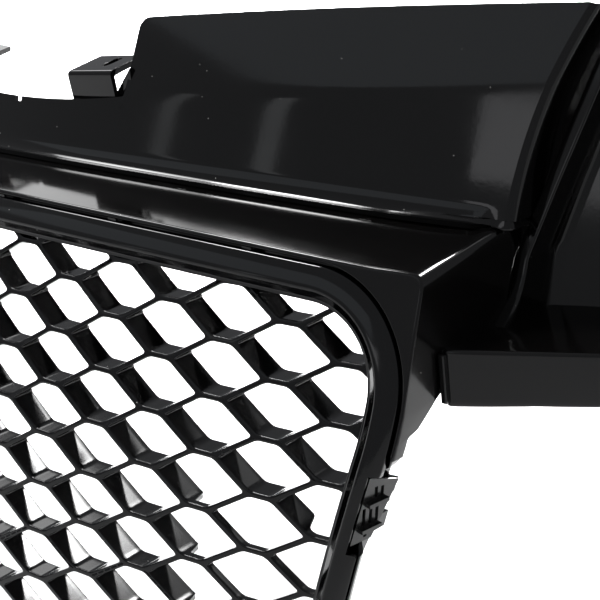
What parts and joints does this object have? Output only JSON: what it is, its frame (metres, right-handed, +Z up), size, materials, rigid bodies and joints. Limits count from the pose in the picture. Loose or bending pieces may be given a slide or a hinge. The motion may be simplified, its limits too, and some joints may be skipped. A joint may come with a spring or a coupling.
{
  "type": "front grille",
  "caption": "Gloss black passenger-car front grille: rounded honeycomb opening in a deep box frame, with an upper panel and two headlamp wings.",
  "frame": {"origin": "On the centre plane, midway between the foremost and rearmost points, level with the lowest edge of the lower tabs.", "axes": "+X to the viewer's right from the front, -Y out of the front, +Z up. X is normal to the plane of symmetry and along the longest extent."},
  "size_m": [0.94, 0.1974, 0.3706],
  "materials": {
    "frame": "high gloss moulded black",
    "ring": "high gloss moulded black",
    "mesh": "high gloss moulded black",
    "panel": "high gloss moulded black",
    "wing": "high gloss moulded black",
    "clip": "satin moulded black",
    "fastener": "zinc plated"
  },
  "bodies": {
    "root": {"honeycomb_insert": "mesh", "trim_ring": "ring", "carrier_frame": "frame", "upper_panel": "panel", "wing_right": "wing", "wing_left": "wing", "clip_right": "clip", "clip_left": "clip", "insert_screw_right_1": "fastener", "insert_screw_left_1": "fastener", "insert_screw_right_2": "fastener", "insert_screw_left_2": "fastener", "insert_screw_right_3": "fastener", "insert_screw_left_3": "fastener", "insert_screw_right_4": "fastener", "insert_screw_left_4": "fastener", "insert_screw_right_5": "fastener", "insert_screw_left_5": "fastener", "insert_screw_right_6": "fastener", "insert_screw_left_6": "fastener", "panel_screw_1": "fastener", "panel_screw_2": "fastener", "panel_screw_3": "fastener", "panel_screw_4": "fastener", "wing_screw_right_1": "fastener", "wing_screw_right_2": "fastener", "wing_screw_left_1": "fastener", "wing_screw_left_2": "fastener"}
  },
  "joints": []
}
